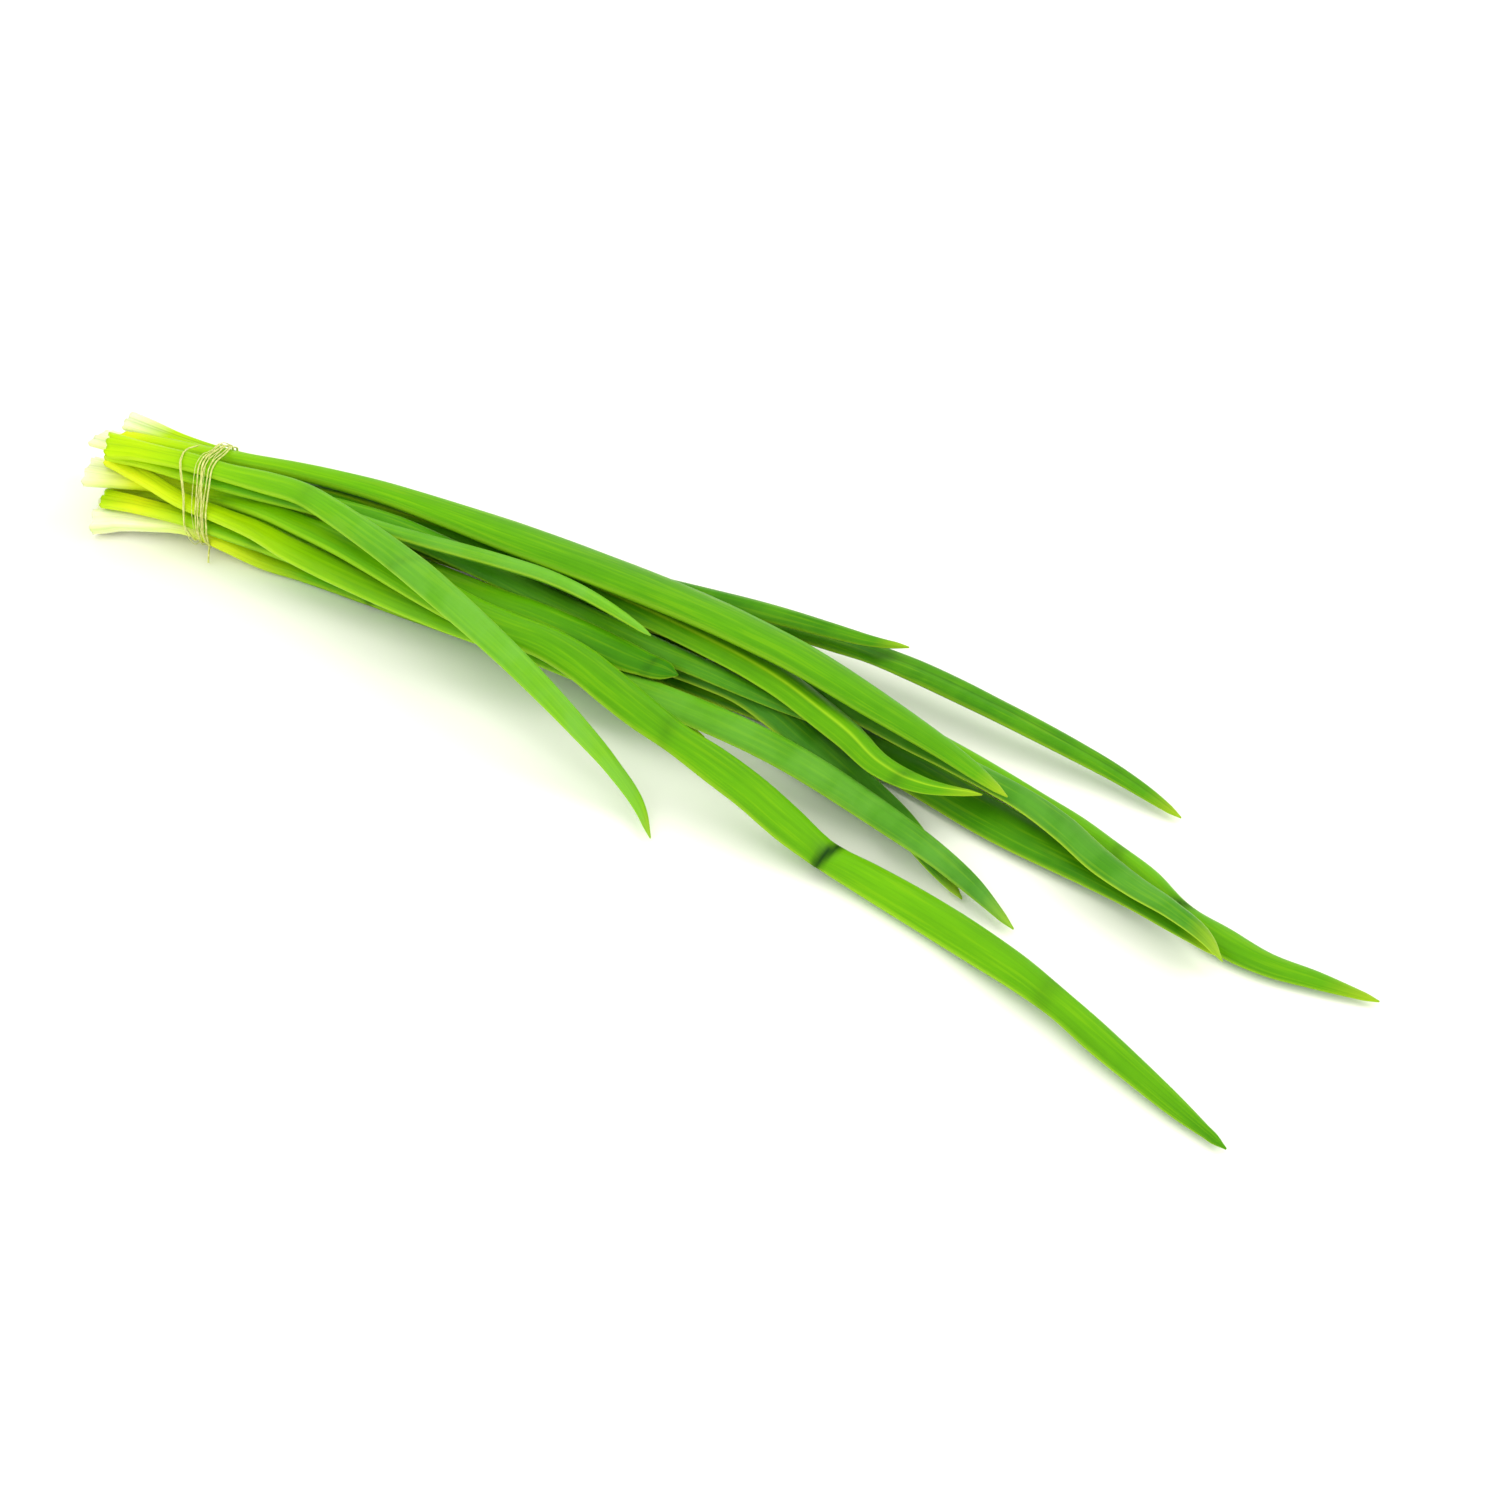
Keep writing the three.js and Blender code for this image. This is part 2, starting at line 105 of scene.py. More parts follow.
# %% Read the rings of a leaf
RING_SHRINK = 0.962
RING_SPACING = 10 * MM
TIE_X = -128.5 * MM
FORKED = "leaf_top_forked"
LEAF_NODES = sorted(name for name in frame["nodes"] if name.startswith("leaf_"))


def rings_of(name):
    points = np.array([vertex.co[:] for vertex in frame["nodes"][name].data.vertices])
    planes = np.round(points[:, 0], 5)
    found = np.unique(planes)
    steps = (found - TIE_X) / RING_SPACING
    shared = np.abs(steps - np.round(steps)) < 1e-3
    shared[0] = shared[-1] = True
    return [(x, points[planes == x]) for x in found[shared]]


def station(x, ring):
    low, high = ring[:, 1:].min(axis=0), ring[:, 1:].max(axis=0)
    middle = (low + high) / 2
    half = (high - low) / 2
    return [x, middle[0], middle[1], half[0] / RING_SHRINK, half[1]]


routes = {name: np.array([station(x, ring) for x, ring in rings_of(name)])
          for name in LEAF_NODES if name != FORKED}
for name, route in routes.items():
    print(name, "rings", len(route), "length mm", round((route[-1, 0] - route[0, 0]) / MM))


# %% [markdown]
# ## The leaf that forks
# One leaf splits in two beyond the tie. Past the fork its ring has two groups of points with a clear gap
# between them, and the group nearer to the last point of a part belongs to it. Before the fork both
# parts share one ring. There the trunk keeps the near edge, and the second tip starts small and deep
# inside it and moves out to the far edge and down, so the two skins part as one leaf does.

# %% Read the forked leaf
FORK_X = TIE_X + 65 * MM
BRANCH_START_X = TIE_X + 35 * MM
FORK_GAP = 3.8 * MM
BRANCH_DROP = 4.2 * MM
BRANCH_START_SIZE = 0.6
BRANCH_START_INWARD = 1.0 * MM


def split_ring(ring):
    order = ring[np.argsort(ring[:, 1])]
    cuts = np.where(np.diff(order[:, 1]) > FORK_GAP)[0] + 1
    return np.split(order, cuts)


def belongs_to_branch(row, trunk, branch):
    from_trunk = row[1] - trunk[-1][1]
    if not branch:
        return from_trunk > 0
    return abs(row[1] - branch[-1][1]) < abs(from_trunk)


def read_parts(name):
    trunk, branch, shared = [], [], []
    for x, ring in rings_of(name):
        if x < BRANCH_START_X:
            trunk.append(station(x, ring))
        elif x < FORK_X:
            shared.append((x, ring[:, 1].min(), ring[:, 1].max(), ring[:, 2].max()))
        else:
            for group in split_ring(ring):
                row = station(x, group)
                (branch if belongs_to_branch(row, trunk, branch) else trunk).append(row)
    return trunk, branch, shared


def forked_stations(name):
    trunk, branch, shared = read_parts(name)
    before = [row for row in trunk if row[0] < BRANCH_START_X][-1]
    after = [row for row in trunk if row[0] > FORK_X][0]
    first = branch[0]
    for x, near_edge, far_edge, top in shared:
        a, b = [np.interp(x, [before[0], after[0]], [before[c], after[c]]) for c in (3, 4)]
        trunk.append([x, near_edge + RING_SHRINK * a, top - b, a, b])
        parted = (x - BRANCH_START_X) / (FORK_X - BRANCH_START_X)
        drop = b * (1 - parted) + BRANCH_DROP * parted
        size = BRANCH_START_SIZE * (1 - parted) + parted
        inward = RING_SHRINK * first[3] + BRANCH_START_INWARD * (1 - parted)
        branch.append([x, far_edge - inward, top - drop, first[3] * size, first[4] * size])
    return np.array(sorted(trunk)), np.array(sorted(branch))


routes[FORKED], branch_route = forked_stations(FORKED)
print("forked leaf rings:", len(routes[FORKED]), "second tip rings:", len(branch_route))


# %% [markdown]
# ## A smooth line through the rings
# Ten millimetres between rings is right for a light solid but shows as straight facets. A cubic curve
# through the ring values gives stations every millimetre, so the leaf bends softly. Where the real leaf
# is creased, the crease is pressed in afterwards at its own place.

# %% Resample a route
STATION_STEP = 1.0 * MM


def resample(route):
    count = int((route[-1, 0] - route[0, 0]) / STATION_STEP) + 1
    xs = np.linspace(route[0, 0], route[-1, 0], count)
    slopes = np.gradient(route[:, 1:], route[:, 0], axis=0)
    at = np.clip(np.searchsorted(route[:, 0], xs, side="right") - 1, 0, len(route) - 2)
    span = (route[at + 1, 0] - route[at, 0])[:, None]
    t = (xs - route[at, 0])[:, None] / span
    near, far = route[at, 1:], route[at + 1, 1:]
    near_value, near_slope = 2 * t**3 - 3 * t**2 + 1, t**3 - 2 * t**2 + t
    far_value, far_slope = -2 * t**3 + 3 * t**2, t**3 - t**2
    values = (near_value * near + near_slope * span * slopes[at]
              + far_value * far + far_slope * span * slopes[at + 1])
    return np.column_stack([xs, values])


print("stations in the longest leaf:", max(len(resample(route)) for route in routes.values()))


# %% [markdown]
# ## The form of one leaf
# A cut leaf of this kind is a hollow tube pressed into a flat lens. Its faces carry a shallow channel, a
# keel or fine pleats, its walls fold where it was bent, and it is open at the cut end. A few numbers say
# this for each leaf, so that one builder makes all fifteen:
# - lens is how sharp the two edges are: 1 is an oval, more is sharper.
# - channel and keel press the top face in or raise it, and keel_at is the ridge's place across the leaf,
#   from -1 at one edge to 1 at the other.
# - the fold line value is a painted highlight along the leaf if above 0 and painted shade along it if
#   below, at line_at across.
# - roll is how far the leaf lies turned about its own length, in degrees.
# - pleats is how deep the cut end is ribbed, and the rim value sets the painted light along the thin
#   edges.
# - cut is how obliquely the knife went through, in millimetres, and its sign says to which side.
# - blunt is the length of a rounded tip, in millimetres; 0 leaves the tip slender.
# - each crease is its distance from the tie, its depth as a share of the thickness, its half width and
#   its slant, in millimetres where it is a length.

# %% Leaf forms read from the photograph
PLAIN_FORM = {"lens": 1.3, "channel": 0.0, "keel": 0.0, "keel_at": 0.0, "roll": 0.0, "pleats": 0.08,
              "painted_fold_line": 0.0, "line_at": 0.0, "rim_light": 0.35, "cut": 2.0, "blunt": 0.0, "creases": []}
LEAF_FORMS = {
    "leaf_back_long": {"lens": 1.08, "keel": 0.04, "keel_at": 0.5, "roll": -6, "cut": -3.0, "rim_light": 0.25},
    "leaf_far_short": {"keel": 0.10, "keel_at": 0.3, "roll": 4, "pleats": 0.14, "cut": -2.0},
    "leaf_far_long": {"channel": 0.26, "painted_fold_line": -0.4, "roll": -4, "pleats": 0.14,
                      "creases": [(162, 0.16, 3.0, 1.0)]},
    "leaf_right_kinked": {"keel": 0.08, "roll": 5,
                          "creases": [(231, 0.2, 2.5, 0.0), (248, 0.4, 3.0, 2.0)]},
    "leaf_right_upper": {"lens": 1.5, "channel": 0.08, "roll": -6, "rim_light": 0.7},
    "leaf_right_broad": {"lens": 1.4, "channel": 0.06, "roll": 3, "rim_light": 0.5},
    "leaf_hooked": {"lens": 1.4, "keel": 0.34, "keel_at": -0.1, "roll": 0, "painted_fold_line": 0.8, "line_at": -0.1,
                    "creases": [(186, 0.15, 3.0, 1.0)]},
    "leaf_under_dark": {"lens": 1.5, "channel": 0.14, "roll": 5, "rim_light": 0.7},
    "leaf_front_mid": {"lens": 1.3, "channel": 0.10, "roll": 3, "painted_fold_line": -0.2, "line_at": 0.2},
    "leaf_front_long": {"lens": 1.12, "keel": 0.04, "keel_at": 0.4, "roll": 4, "cut": 3.0,
                        "pleats": 0.12, "blunt": 6.0,
                        "creases": [(138, 0.10, 3.2, -1.0), (180.5, 0.60, 2.0, 0.8),
                                    (237, 0.12, 3.6, 0.0)]},
    "leaf_top_forked": {"lens": 1.4, "channel": 0.08, "roll": 6, "cut": 4.0, "pleats": 0.06,
                        "creases": [(32, 0.08, 5.0, 0.0), (64, 0.08, 2.0, 3.0)]},
    "leaf_blunt": {"lens": 1.1, "keel": 0.08, "keel_at": -0.2, "roll": 14, "rim_light": 0.6, "blunt": 8.0,
                   "creases": [(122, 0.18, 1.6, 0.5)]},
    "leaf_mid_bluish": {"keel": 0.1, "keel_at": 0.2, "roll": 10},
    "leaf_near_low": {"channel": 0.1, "roll": -4, "pleats": 0.12, "creases": [(20, 0.12, 4.0, 0.0)]},
    "leaf_near_sheath": {"lens": 1.0, "channel": 0.04, "roll": 3, "pleats": 0.10, "cut": 4.0,
                         "creases": [(50, 0.35, 1.6, 0.5)]},
}
print("forms given for", len(LEAF_FORMS), "leaves")


# %% [markdown]
# ## Creases and the cross-section
# Where a hollow leaf is bent, its walls collapse: the tube gets thinner there and a little wider. The
# fold itself is darkened with painted shade, and softer painted shade lies on the side towards the cut
# end. Near the tie the thread squeezes the leaves together and they keep a rounder section, which
# flattens over the next few centimetres. SIDE runs across the leaf from -1 to 1, and UPPER is 1 on the
# face that looks up.

# %% Folds and section
RING_POINTS = 40
ANGLES = np.arange(RING_POINTS) * 2 * math.pi / RING_POINTS
SIDE = np.cos(ANGLES)
UPPER = np.clip(np.sin(ANGLES) * 2, 0, 1)
FOLD_SHADE = 1.6
FOLD_SHARPNESS = 1.7
UPSTREAM_SHADE = 0.7
UPSTREAM_REACH = 4.5
ROUND_LENS = 0.85
ROUND_UNTIL = 25 * MM
FLATTEN_REACH = 40 * MM
CHANNEL_WIDTH = 0.42
KEEL_WIDTH = 0.2
KEEL_FOOT = 0.35
PLEAT_COUNT = 4.5
LEAST_PLEAT = 0.006


def crease_fold_and_shade(x, form):
    squeeze, shade = np.ones(RING_POINTS), np.zeros(RING_POINTS)
    for place, depth, half_width, slant in form["creases"]:
        middle = TIE_X + (place + slant * SIDE) * MM
        d = (x - middle) / (half_width * MM)
        squeeze -= depth * np.exp(-(d**2))
        # Painted shade: dark in the fold itself, and softer on the side towards the cut end.
        shade += FOLD_SHADE * depth * np.exp(-((d * FOLD_SHARPNESS) ** 2))
        upstream = np.clip(1 + d / UPSTREAM_REACH, 0, 1) * (d < 0)
        narrowing = np.clip(1.2 - np.abs(SIDE) - 0.5 * (1 - upstream), 0, 1)
        shade += UPSTREAM_SHADE * depth * upstream**2 * narrowing
    return squeeze, shade


def section_lift(form, flare, x):
    sine = np.sin(ANGLES)
    flattened = np.clip((x - TIE_X - ROUND_UNTIL) / FLATTEN_REACH, 0, 1)
    lens = ROUND_LENS + (form["lens"] - ROUND_LENS) * flattened
    lift = np.sign(sine) * np.abs(sine) ** lens
    lift = lift - form["channel"] * UPPER * np.exp(-((SIDE / CHANNEL_WIDTH) ** 2))
    ridge = np.exp(-np.abs(SIDE - form["keel_at"]) / KEEL_WIDTH) - KEEL_FOOT
    lift = lift + form["keel"] * UPPER * ridge
    pleat = LEAST_PLEAT + form["pleats"] * flare
    return lift + pleat * np.sin(PLEAT_COUNT * math.pi * SIDE) * np.abs(sine)


print("points in a ring:", RING_POINTS)


# %% [markdown]
# ## One ring of the skin
# A ring is the section scaled to the leaf's width a and thickness b at that station, turned by the
# leaf's roll and moved to its place. A grown leaf is never quite even, so a slow wave varies its width
# and roll. At the cut end the knife's slant moves points along the leaf, and a fine wave makes the lip
# ragged. The wave moves it only inwards, so that the leaf keeps the length of its solid.

# %% Points of a ring
CUT_REACH = 9 * MM
WAVE_WIDTH = 0.02
WAVE_ROLL = 4
THINNEST = 0.08 * MM
FLAT_ENOUGH = 0.4
FOLD_WIDENING = 0.12
RAGGED_SHARE = 0.12
RAGGED_TEETH = 7


def cut_shift(from_cut, form):
    cut = max(0.0, 1 - from_cut / CUT_REACH) * abs(form["cut"]) * MM
    slanted = cut * (0.5 - 0.5 * SIDE * math.copysign(1, form["cut"]))
    ragged = cut * RAGGED_SHARE * (1 + np.sin(RAGGED_TEETH * ANGLES + form["roll"]))
    return slanted + ragged


def ring_points(row, form, wave, start, inset=0.0):
    x, y, z, a, b = row
    squeeze, shade = crease_fold_and_shade(x, form)
    flare = max(0.0, 1 - (x - start) / (2 * CUT_REACH))
    a = a * (1 + WAVE_WIDTH * wave[0]) - inset
    b = np.maximum(b * squeeze - inset, THINNEST)
    flatness = min(1.0, float(b.mean()) / (FLAT_ENOUGH * a + 1e-9))
    roll = math.radians(form["roll"] + WAVE_ROLL * wave[1]) * flatness
    across = a * SIDE * (1 + FOLD_WIDENING * (1 - squeeze))
    up = b * np.clip(section_lift(form, flare, x), -1.0, 1.02)
    points = np.column_stack([x + cut_shift(x - start, form),
                              y + across * math.cos(roll) - up * math.sin(roll),
                              z + across * math.sin(roll) + up * math.cos(roll)])
    return points, shade


print("the knife's slant reaches", round(CUT_REACH / MM), "mm up a leaf")


# %% [markdown]
# ## A skin of quads
# Rings with the same number of points join in a grid of quads, closed at both ends. This is lighter and
# more even than a subdivided cage. Each corner gets two plain coordinates, the distance around the leaf
# and along it, in metres, so veins can run on them at their real size wherever the leaf bends.

# %% Grid of rings
def grid_mesh(name, rings, sides):
    count = len(rings)
    k = np.arange(sides)
    n = (k + 1) % sides
    base = (np.arange(count - 1) * sides)[:, None]
    quads = np.stack([base + k, base + n, base + sides + n, base + sides + k], axis=2).reshape(-1, 4)
    faces = quads.tolist()
    faces.append(list(range(sides))[::-1])
    faces.append([(count - 1) * sides + i for i in range(sides)])
    mesh = bpy.data.meshes.new(name)
    mesh.from_pydata(np.concatenate(rings).tolist(), [], faces)
    mesh.polygons.foreach_set("use_smooth", [True] * len(faces))
    return mesh


def add_grain(mesh, sides, arounds, lengths):
    corners = np.array([loop.vertex_index for loop in mesh.loops])
    ring, k = np.divmod(corners, sides)
    order = np.arange(len(corners)) % 4
    quads = np.arange(len(corners)) < 4 * (len(arounds) - 1) * sides
    wraps = quads & (k == 0) & ((order == 1) | (order == 2))
    around = np.where(wraps, sides, k) / sides * np.array(arounds)[ring]
    layer = mesh.uv_layers.new(name="grain")
    layer.data.foreach_set("uv", np.column_stack([around, np.array(lengths)[ring]]).ravel())


def add_object(name, mesh):
    piece = bpy.data.objects.new(name, mesh)
    bpy.context.scene.collection.objects.link(piece)
    return piece


# %% [markdown]
# ## Painted light and shade of each point, and tips
# Each point gets painted light and shade: painted shade by how deep it lies in a crease, painted light by
# how near it is to an edge, and painted highlight and shade by how near it is to the fold line. The
# finish reads all three, so folds look dark and edges pale without any image. The tips narrow to a point
# in the last few stations, or first swell into a round end where a leaf is blunt.

# %% Tones and tips
EDGE_FROM = 0.86
LINE_WIDTH = 0.09
WAVE_SPACING = 24
TIP_SHARES = np.array([[0.88], [0.66], [0.34]])


def tone_of(form, shade):
    # Painted light along the thin edges.
    edge_light = np.clip((np.abs(SIDE) - EDGE_FROM) / (1 - EDGE_FROM), 0, 1) ** 2 * form["rim_light"]
    # Painted highlight along a fold line where the value is above 0, painted shade where it is below.
    painted_fold_line = form["painted_fold_line"] * UPPER * np.exp(-(((SIDE - form["line_at"]) / LINE_WIDTH) ** 2))
    return np.column_stack([np.clip(shade, 0, 1), edge_light, 0.5 + 0.5 * painted_fold_line, np.ones(RING_POINTS)])


def add_tone(mesh, tones):
    # Stores each point's painted light and shade.
    layer = mesh.color_attributes.new(name="painted_light_and_shade", type="FLOAT_COLOR", domain="POINT")
    layer.data.foreach_set("color", np.concatenate(tones).ravel())


def smooth_waves(seed, count):
    knots = np.random.default_rng(seed).uniform(-1, 1, (count // WAVE_SPACING + 3, 2))
    spots = np.arange(count) / WAVE_SPACING
    return np.column_stack([np.interp(spots, np.arange(len(knots)), knots[:, c]) for c in (0, 1)])


def round_tip(rows, reach):
    near_tip = rows[:, 0] > rows[-1, 0] - reach
    full = rows[near_tip][0, 3:]
    left = (rows[-1, 0] - rows[near_tip, 0]) / reach
    rows[near_tip, 3:] = np.maximum(rows[near_tip, 3:], full * np.sqrt(1 - (1 - left[:, None]) ** 2))


print("tip shares:", TIP_SHARES.ravel().tolist())


# %% [markdown]
# ## The fifteen leaves
# The rings run from the inside of the open end, around the cut lip and along the outside to the tip, so
# a leaf is one closed skin with a real wall at its cut end. The real leaf is hollow all along, but only
# the first centimetre or so can be seen, so the hollow stops there.

# %% Leaf skins
HOLLOW_DEPTH = 14 * MM
WALL = 0.6 * MM
GRAIN_WIDTHS = 3.0


def leaf_mesh(name, route, form, seed, hollow=True, from_start=0.0):
    rows = resample(route)
    if form["blunt"]:
        round_tip(rows, form["blunt"] * MM)
    rows[-3:, 3:] *= TIP_SHARES
    start = rows[0, 0]
    waves = smooth_waves(seed, len(rows))
    outer = [(i, 0.0) for i in range(len(rows))]
    inner = [(i, WALL) for i, row in enumerate(rows) if hollow and row[0] <= start + HOLLOW_DEPTH]
    rings, tones, places = [], [], []
    for i, inset in inner[::-1] + outer:
        points, shade = ring_points(rows[i], form, waves[i], start, inset)
        rings.append(np.clip(points, CAD_BOX[0], CAD_BOX[1]))
        tones.append(tone_of(form, shade))
        places.append(rows[i, 0] - start + from_start)
    tip = rings[-1].mean(axis=0)
    rings.append(tip + (rings[-1] - tip) * 0.5)
    mesh = grid_mesh(name, rings, RING_POINTS)
    arounds = [GRAIN_WIDTHS * rows[:, 3].max()] * len(rings)
    add_grain(mesh, RING_POINTS, arounds, places + places[-1:])
    add_tone(mesh, tones + tones[-1:])
    return mesh


leaf_pieces = {}
for seed, (name, route) in enumerate(routes.items()):
    piece_name = "fine_" + name
    form = {**PLAIN_FORM, **LEAF_FORMS[name]}
    leaf_pieces[name] = add_object(piece_name, leaf_mesh(piece_name, route, form, seed))
print("leaf faces:", sum(len(piece.data.polygons) for piece in leaf_pieces.values()))


# %% [markdown]
# ## The second tip of the forked leaf
# Both tips grew as one leaf, so the second starts deep inside the first, and the two skins read as one
# leaf where they part. It has no cut end, so it is not hollow, and its grain goes on from the trunk's.

# %% Branch of the forked leaf
BRANCH_FORM = {**PLAIN_FORM, "lens": 1.35, "channel": 0.08, "roll": -10, "rim_light": 0.5}
BRANCH_NAME = "fine_leaf_top_forked_branch"
BRANCH_SEED = 99
branch_start = float(branch_route[0, 0] - routes[FORKED][0, 0])
branch_mesh = leaf_mesh(BRANCH_NAME, branch_route, BRANCH_FORM, BRANCH_SEED, False, branch_start)
branch_piece = add_object(BRANCH_NAME, branch_mesh)
print("branch length mm:", round((branch_route[-1, 0] - branch_route[0, 0]) / MM))


# %% [markdown]
# ## The thread's route
# The tie is a thin fibre wound a few times and pulled tight, so it follows the outline of the bunch like
# a rubber band. For each angle around the bunch, the farthest leaf surface in every direction gives that
# band. A table of it at a few planes along the bunch is enough, because the outline changes slowly.

# %% Band around the leaves
THREAD_RADIUS = 0.20 * MM
BAND_STEP_DEGREES = 3.0
BAND_ANGLES = np.radians(np.arange(0, 360, BAND_STEP_DEGREES))
BAND_SLICE = 1.6 * MM
BAND_VIEW_DEGREES = 75
surface = np.concatenate([np.array([vertex.co[:] for vertex in piece.data.vertices])
                          for piece in leaf_pieces.values()])


def band_reach(x, middle):
    near = surface[np.abs(surface[:, 0] - x) < BAND_SLICE][:, 1:] - middle
    ways = np.column_stack([np.cos(BAND_ANGLES), np.sin(BAND_ANGLES)])
    support = (near @ ways.T).max(axis=0)
    reach = []
    for angle in BAND_ANGLES:
        turned = np.abs((BAND_ANGLES - angle + math.pi) % (2 * math.pi) - math.pi)
        open_ways = turned < math.radians(BAND_VIEW_DEGREES)
        reach.append((support[open_ways] / np.cos(turned[open_ways])).min())
    return np.array(reach)


at_tie = surface[np.abs(surface[:, 0] - TIE_X) < 3 * MM][:, 1:]
BUNCH_MIDDLE = (at_tie.min(axis=0) + at_tie.max(axis=0)) / 2
band_planes = np.arange(-12, 12.1, 2.0) * MM + TIE_X
band_table = np.array([band_reach(x, BUNCH_MIDDLE) for x in band_planes])
print("bunch across the tie, mm:", np.round((at_tie.max(axis=0) - at_tie.min(axis=0)) / MM, 1))


def reach_at(x, angle):
    column = angle % (2 * math.pi) / math.radians(BAND_STEP_DEGREES)
    k = int(column) % len(BAND_ANGLES)
    n = (k + 1) % len(BAND_ANGLES)
    f = column - int(column)
    near = np.interp(x, band_planes, band_table[:, k])
    far = np.interp(x, band_planes, band_table[:, n])
    return near * (1 - f) + far * f


# %% [markdown]
# ## Turns of the thread
# Each turn is given by where it crosses the top, the near side, the bottom and the far side of the
# bunch, in millimetres along it from the tie's middle. The first is the lone turn nearer the cut ends.
# Values that swap order make the turns cross, as the photograph shows. Later turns ride a little higher,
# because they lie on earlier ones, and the whole winding leans as it goes round.

# %% Thread turns
TURN_SKEW = 0.22
TURNS_MM = [
    (-2.4, 0.2, 1.8, 0.4),
    (3.0, 3.5, 2.9, 3.1),
    (4.6, 4.1, 2.2, 3.4),
    (3.7, 5.0, 4.6, 4.2),
    (5.8, 5.4, 3.4, 4.4),
    (6.6, 6.2, 4.4, 5.0),
]
STEPS_PER_TURN = 72
FIRST_TURN_QUARTERS = 4
LIFT_RATE = 1.7


def thread_path():
    keys = [value for turn in TURNS_MM for value in turn][:-1]
    count = int((len(keys) - 1) * STEPS_PER_TURN / 4)
    path = []
    for i in range(count + 1):
        u = i / count * (len(keys) - 1)
        k = min(int(u), len(keys) - 2)
        blend = (1 - math.cos(math.pi * (u - k))) / 2
        along = (keys[k] + blend * (keys[k + 1] - keys[k])) * MM
        angle = math.pi / 2 + u * math.pi / 2
        stacked = (0.5 + 0.5 * math.sin(u * LIFT_RATE)) * (u > FIRST_TURN_QUARTERS)
        reach = reach_at(TIE_X + along, angle) + THREAD_RADIUS * (1.0 + stacked)
        side = reach * math.cos(angle)
        path.append([TIE_X + along - TURN_SKEW * side, BUNCH_MIDDLE[0] + side,
                     BUNCH_MIDDLE[1] + reach * math.sin(angle)])
    return np.array(path)


wound_path = thread_path()
print("thread points:", len(wound_path))


# %% [markdown]
# ## A wound tube
# A fibre tie is twisted from finer strands, so its surface is wound rather than smooth. At the size of
# the photograph the thread is only a pixel or two wide, so three strands and a pitch of 3.6 mm are a
# guess. The radius may change along the path, because a plant fibre is never even.

# %% Tube along a path
STRANDS = 3
TUBE_SIDES = 12
WOUND_PITCH = 3.6 * MM
WOUND_DEPTH = 0.10


def tube_rings(path, radius):
    tangents = np.gradient(path, axis=0)
    tangents /= np.linalg.norm(tangents, axis=1)[:, None]
    side = np.cross(tangents, [1.0, 0.0, 0.0])
    side /= np.linalg.norm(side, axis=1)[:, None]
    lift = np.cross(side, tangents)
    lengths = np.concatenate([[0], np.cumsum(np.linalg.norm(np.diff(path, axis=0), axis=1))])
    turn = 2 * math.pi * np.arange(TUBE_SIDES) / TUBE_SIDES
    wound = 1 + WOUND_DEPTH * np.cos(STRANDS * turn - 2 * math.pi * lengths[:, None] / WOUND_PITCH)
    reach = radius[:, None] * wound
    rings = (path[:, None] + (reach * np.cos(turn))[:, :, None] * side[:, None]
             + (reach * np.sin(turn))[:, :, None] * lift[:, None])
    return list(rings), lengths.tolist()


def tube(name, path, radius):
    rings, lengths = tube_rings(path, radius)
    mesh = grid_mesh(name, rings, TUBE_SIDES)
    add_grain(mesh, TUBE_SIDES, [2 * math.pi * THREAD_RADIUS] * len(rings), lengths)
    return mesh


print("strands in the thread:", STRANDS)


# %% [markdown]
# ## The thread with its two ends
# One short end stands off at the start of the lone turn. The other hangs free below the group of turns
# and stops above the table. Both are added as straight steps, and the thread swells and thins slowly.

# %% Thread piece
STEPS_SHORT = 8
TAIL_WAY = np.array([0.3, -0.6, -0.7])
HEAD_WAY = np.array([0.4, 0.0, 0.05])
TAIL_STEPS = 10
HEAD_STEPS = 8
END_STEP = 0.4 * MM
SWELL_MIDDLE = 0.86
SWELL_RANGE = 0.22
SWELL_STEPS = 29


def with_tails(path):
    steps = np.arange(1, TAIL_STEPS + 1)[:, None] * END_STEP
    path = path[:-STEPS_SHORT]
    tail = path[-1] + TAIL_WAY / np.linalg.norm(TAIL_WAY) * steps
    tail[:, 2] = np.maximum(tail[:, 2], THREAD_RADIUS)
    back = (path[0] - path[2]) / np.linalg.norm(path[0] - path[2])
    head = path[0] + (back + HEAD_WAY) * steps
    return np.concatenate([head[:HEAD_STEPS][::-1], path, tail])


thread_route = with_tails(wound_path)
thread_swell = SWELL_MIDDLE + SWELL_RANGE * np.sin(np.arange(len(thread_route)) / SWELL_STEPS)
thread_mesh = tube("fine_tie_thread", thread_route, THREAD_RADIUS * thread_swell)
thread_piece = add_object("fine_tie_thread", thread_mesh)
print("thread turns:", len(TURNS_MM), "faces:", len(thread_piece.data.polygons))


# %% [markdown]
# ## Loose fibres
# Plant fibre frays: a few hair-fine strands stand off the turns at the top of the bunch and follow the
# lone turn. Each is a thin tapering tube that leaves the wound thread and returns to it or ends free. It
# is given by the shares of the thread's route where it leaves and returns, and how far it bows out, in
# millimetres.

# %% Frayed strands
FIBRE_RADIUS = 0.09 * MM
FIBRES = [(0.02, 0.20, 0.9), (0.15, 0.30, 0.5), (0.33, 0.41, 0.8), (0.57, 0.64, 0.7), (0.70, 0.79, 0.9)]
FIBRE_CLEARANCE = 0.15 * MM
FIBRE_SWAY = 0.7 * MM


